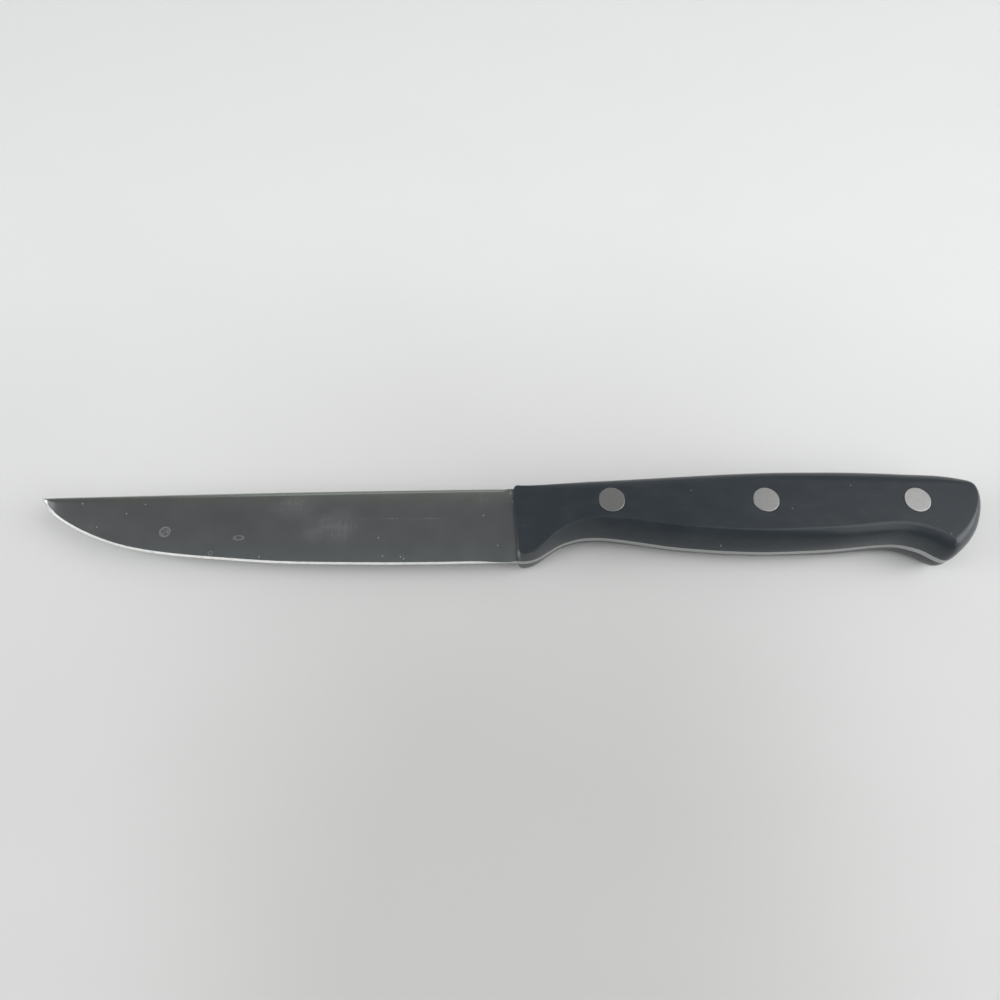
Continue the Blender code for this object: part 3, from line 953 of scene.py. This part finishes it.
# Where the handle's front, the rivet line and the middle of the steel lie in the frame
frontRivet = boxMiddle("front_rivet_male")
origin = np.array([frontRivet[0] - rivetShape["frontPlace"], frontRivet[1], handleShape["thickness"] / 2])
rivetPlaces = {word: boxMiddle(f"{word}_rivet_male")[0] - origin[0] for word in ("front", "middle", "rear")}


# Surface of revolution: (radius, height) points turned round an upright axis at each place along X
def turnedPoints(profile, places):
    profile = np.array(profile)
    angle = np.linspace(0, 2 * math.pi, rivetShape["turns"], endpoint=False)
    x = profile[:, :1] * np.cos(angle)
    y = profile[:, :1] * np.sin(angle)
    z = np.repeat(profile[:, 1:], len(angle), axis=1)
    return np.stack([np.stack([x + place, y, z], axis=-1) for place in places])


def turnedPiece(name, profile, places, materials):
    points = turnedPoints(profile, places)
    faces = gridFaces(len(profile), rivetShape["turns"])
    count = len(profile) * rivetShape["turns"]
    faces = np.concatenate([faces + number * count for number in range(len(places))])
    return newPiece(name, points, faces, rivetShape["sharpAngle"], materials)


rivetLook = {
    "light": (0.50, 0.505, 0.496, 1),
    "dark": (0.425, 0.43, 0.421, 1),
    "strokeDarkens": 0.6,
    "patchDarkens": 0.5,
    "darkSpan": (0.35, 0.75),
    "stroke": ((2.2, 0.08, 2.2), 3.0, 0.6),
    "patch": ((1.3, 1.3, 1.3), 3.0, 0.6),
    "pit": (0.16, 0.16, 0.16, 1),
    "pits": (0.9, 0.06, 0.3),
    "pitStrength": 0.7,
    "roughness": 0.31,
    "strokeRoughness": 0.14,
    "patchRoughness": 0.1,
    "bump": (0.3, 0.000006),
}


# Rivet heads sanded flush with the handle: fine straight strokes, a few pits
def rivetMetal():
    look = rivetLook
    material, shader = newMaterial("rivet_metal", {"Metallic": 1.0})
    place = knifePlace(material)[0]
    stroke, patch = clouds(place, look, ("stroke", "patch"))
    pits = dots(place, *look["pits"])
    dark = (look["strokeDarkens"] * stroke + look["patchDarkens"] * patch).between(*look["darkSpan"])
    metal = mixColours(dark, look["light"], look["dark"])
    uneven = look["strokeRoughness"] * stroke.stray() + look["patchRoughness"] * patch.stray()
    feed(shader, {
        "Base Color": mixColours(pits * look["pitStrength"], metal, look["pit"]),
        "Roughness": look["roughness"] + uneven,
        "Normal": bumped(stroke - pits, *look["bump"]),
    })
    return material


# A flush head: flat top, quarter-round rim
def headProfile():
    top = handleShape["thickness"] / 2
    radius, rim = rivetShape["headRadius"], rivetShape["rimRound"]
    angles = np.linspace(0, math.pi / 2, rivetShape["rimSteps"])
    flat = [(radius * share, top) for share in (0, *rivetShape["headRings"])]
    corner = [(radius - rim + rim * math.sin(a), top - rim + rim * math.cos(a)) for a in angles]
    return [*flat, *corner, (radius, top - rivetShape["headThickness"])]


# Each rivet is a pin with its head on the left side, in a tube with its head on the right side
def makeRivets(material):
    face = handleShape["thickness"] / 2
    under = face - rivetShape["headThickness"]
    pin, tube = rivetShape["pinRadius"], rivetShape["tubeRadius"]
    rim = rivetShape["rimRound"]
    end = rivetShape["pinEndFromFace"] - face
    bore = pin + rivetShape["fitGap"]
    mouth, floor = rivetShape["tubeEndGap"] - under, rivetShape["tubeEndGap"] - end
    male = [*headProfile(), (pin, under), (pin, end + rim), (pin - rim, end), (0, end)]
    female = [*headProfile(), (tube, under), (tube, mouth), (bore, mouth), (bore, floor), (0, floor)]
    female = [(radius, -height) for radius, height in female]
    for word, place in rivetPlaces.items():
        for half, profile, piece in (("male", male, "pin"), ("female", female, "tube")):
            rivet = turnedPiece(f"{word}_rivet_{piece}", profile, [place], [material])
            finishPiece(rivet, f"{word}_rivet_{half}")


steel, edge = satinSteel(), sharpenedSteel()
plastic = blackPlastic()
makeBlade([steel, edge])
makeScale("left", 1, plastic)
makeScale("right", -1, plastic)
makeRivets(rivetMetal())


tableLook = {
    "size": 6.0,  # metres
    "pale": (0.58, 0.584, 0.57, 1),
    "paler": (0.88, 0.888, 0.89, 1),
    "depth": (-80.0, 120.0),  # painted light: shaded in front, paler at the back like a sheen
    "sides": (20.0, 110.0),
    "sideSheenShare": 0.42,
    "mottle": ((70.0, 45.0, 45.0), 2.0, 0.5),
    "mottleShare": 0.15,
    "roughness": 0.55,
}


# A pale matt table with painted light: shaded in front and in the middle, paler like a sheen towards the back
# and the sides, with a faint broad mottle
def makeTable():
    look = tableLook
    material, shader = newMaterial("pale_table", {"Roughness": look["roughness"]})
    place, x, y = knifePlace(material)[:3]
    mottle = cloud(place, *look["mottle"])
    # Painted light: shade in front and in the middle, a paler sheen towards the back and the sides
    depth = y.between(*look["depth"])
    share = depth + look["sideSheenShare"] * (1 - depth) * abs(x).between(*look["sides"])
    share = share + look["mottleShare"] * mottle.stray()
    feed(shader, {"Base Color": mixColours(share, look["pale"], look["paler"])})
    half = look["size"] / 2
    corners = [(-half, -half, 0), (half, -half, 0), (half, half, 0), (-half, half, 0)]
    mesh = bpy.data.meshes.new("table")
    mesh.from_pydata(corners, [], [(0, 1, 2, 3)])
    mesh.materials.append(material)
    newObject("table", mesh)
    print("table laid")


# Soft panels that face the knife. Lean is to the right and pitch to the back of straight overhead, in
# degrees, and a panel of radiance 1 would look white.
studio = {
    "distance": 1.2,  # metres
    "panels": {
        "leftPanel": {"lean": -68.0, "pitch": -5.0, "size": (0.73, 0.65), "radiance": 4.0},
        "rightPanel": {"lean": 68.0, "pitch": -3.4, "size": (0.73, 0.72), "radiance": 3.75},
        "highRightPanel": {"lean": 36.0, "pitch": -3.4, "size": (0.64, 0.72), "radiance": 2.42},
        "overheadPanel": {"lean": -18.0, "pitch": -13.5, "size": (0.87, 0.53), "radiance": 2.6},
        "frontRightPanel": {"lean": 48.0, "pitch": -34.0, "size": (0.69, 0.60), "radiance": 1.55},
        "backRightPanel": {"lean": 33.0, "pitch": 23.0, "size": (0.42, 0.48), "radiance": 0.6},
        "backPanel": {"lean": 0.0, "pitch": 50.0, "size": (0.97, 0.60), "radiance": 0.54},
    },
    "room": (0.12, 0.12, 0.12, 1),
    "backWall": (0.84, 0.84, 0.84, 1),
    "wallFade": (0.05, 0.5),  # the wall fades out between these heights, as shares of a full circle's radius
    "wallSpread": (0.0, 0.8),
}


def lightStudio():
    for name, panel in studio["panels"].items():
        lamp = bpy.data.lights.new(name, "AREA")
        lamp.shape = "RECTANGLE"
        lamp.size, lamp.size_y = panel["size"]
        lamp.energy = panel["radiance"] * math.pi * lamp.size * lamp.size_y
        lean, pitch = math.radians(panel["lean"]), math.radians(panel["pitch"])
        level = math.cos(pitch)
        direction = np.array([level * math.sin(lean), math.sin(pitch), level * math.cos(lean)])
        thing = newObject(name, lamp)
        thing.location = direction * studio["distance"]
        thing.rotation_euler = (-pitch, lean, 0)
        thing.visible_camera = False
    world = bpy.data.worlds.new("room")
    world.use_nodes = True
    bpy.context.scene.world = world
    tree = world.node_tree
    direction = Flow(tree).node("ShaderNodeTexCoord", {}, {}, "Generated")
    depth = direction.node("ShaderNodeSeparateXYZ", {}, {0: direction}, "Y")
    height = direction.node("ShaderNodeSeparateXYZ", {}, {0: direction}, "Z")
    wall = depth.between(*studio["wallSpread"]) * (1 - height.between(*studio["wallFade"]))
    feed(tree.nodes["Background"], {"Color": mixColours(wall, studio["room"], studio["backWall"])})
    print("studio lit with", len(studio["panels"]), "panels")


# Looking down and away from the edge side; the place is in the frame's millimetres
cameraView = {
    "lens": 27.36,
    "sensorWidth": 36,
    "tilt": 24.6,  # degrees
    "place": (-1.776, -75.17, 183.35),
    "nearest": 0.01,  # metres
}


def placeCamera():
    view = bpy.data.cameras.new("view")
    view.lens = cameraView["lens"]
    view.sensor_width = cameraView["sensorWidth"]
    view.clip_start = cameraView["nearest"]
    camera = newObject("view", view)
    camera.location = np.array(cameraView["place"]) / metre
    camera.rotation_euler = (math.radians(cameraView["tilt"]), 0, 0)
    bpy.context.scene.camera = camera
    print("camera placed")


makeTable()
lightStudio()
placeCamera()
bpy.context.scene.view_settings.view_transform = "Standard"
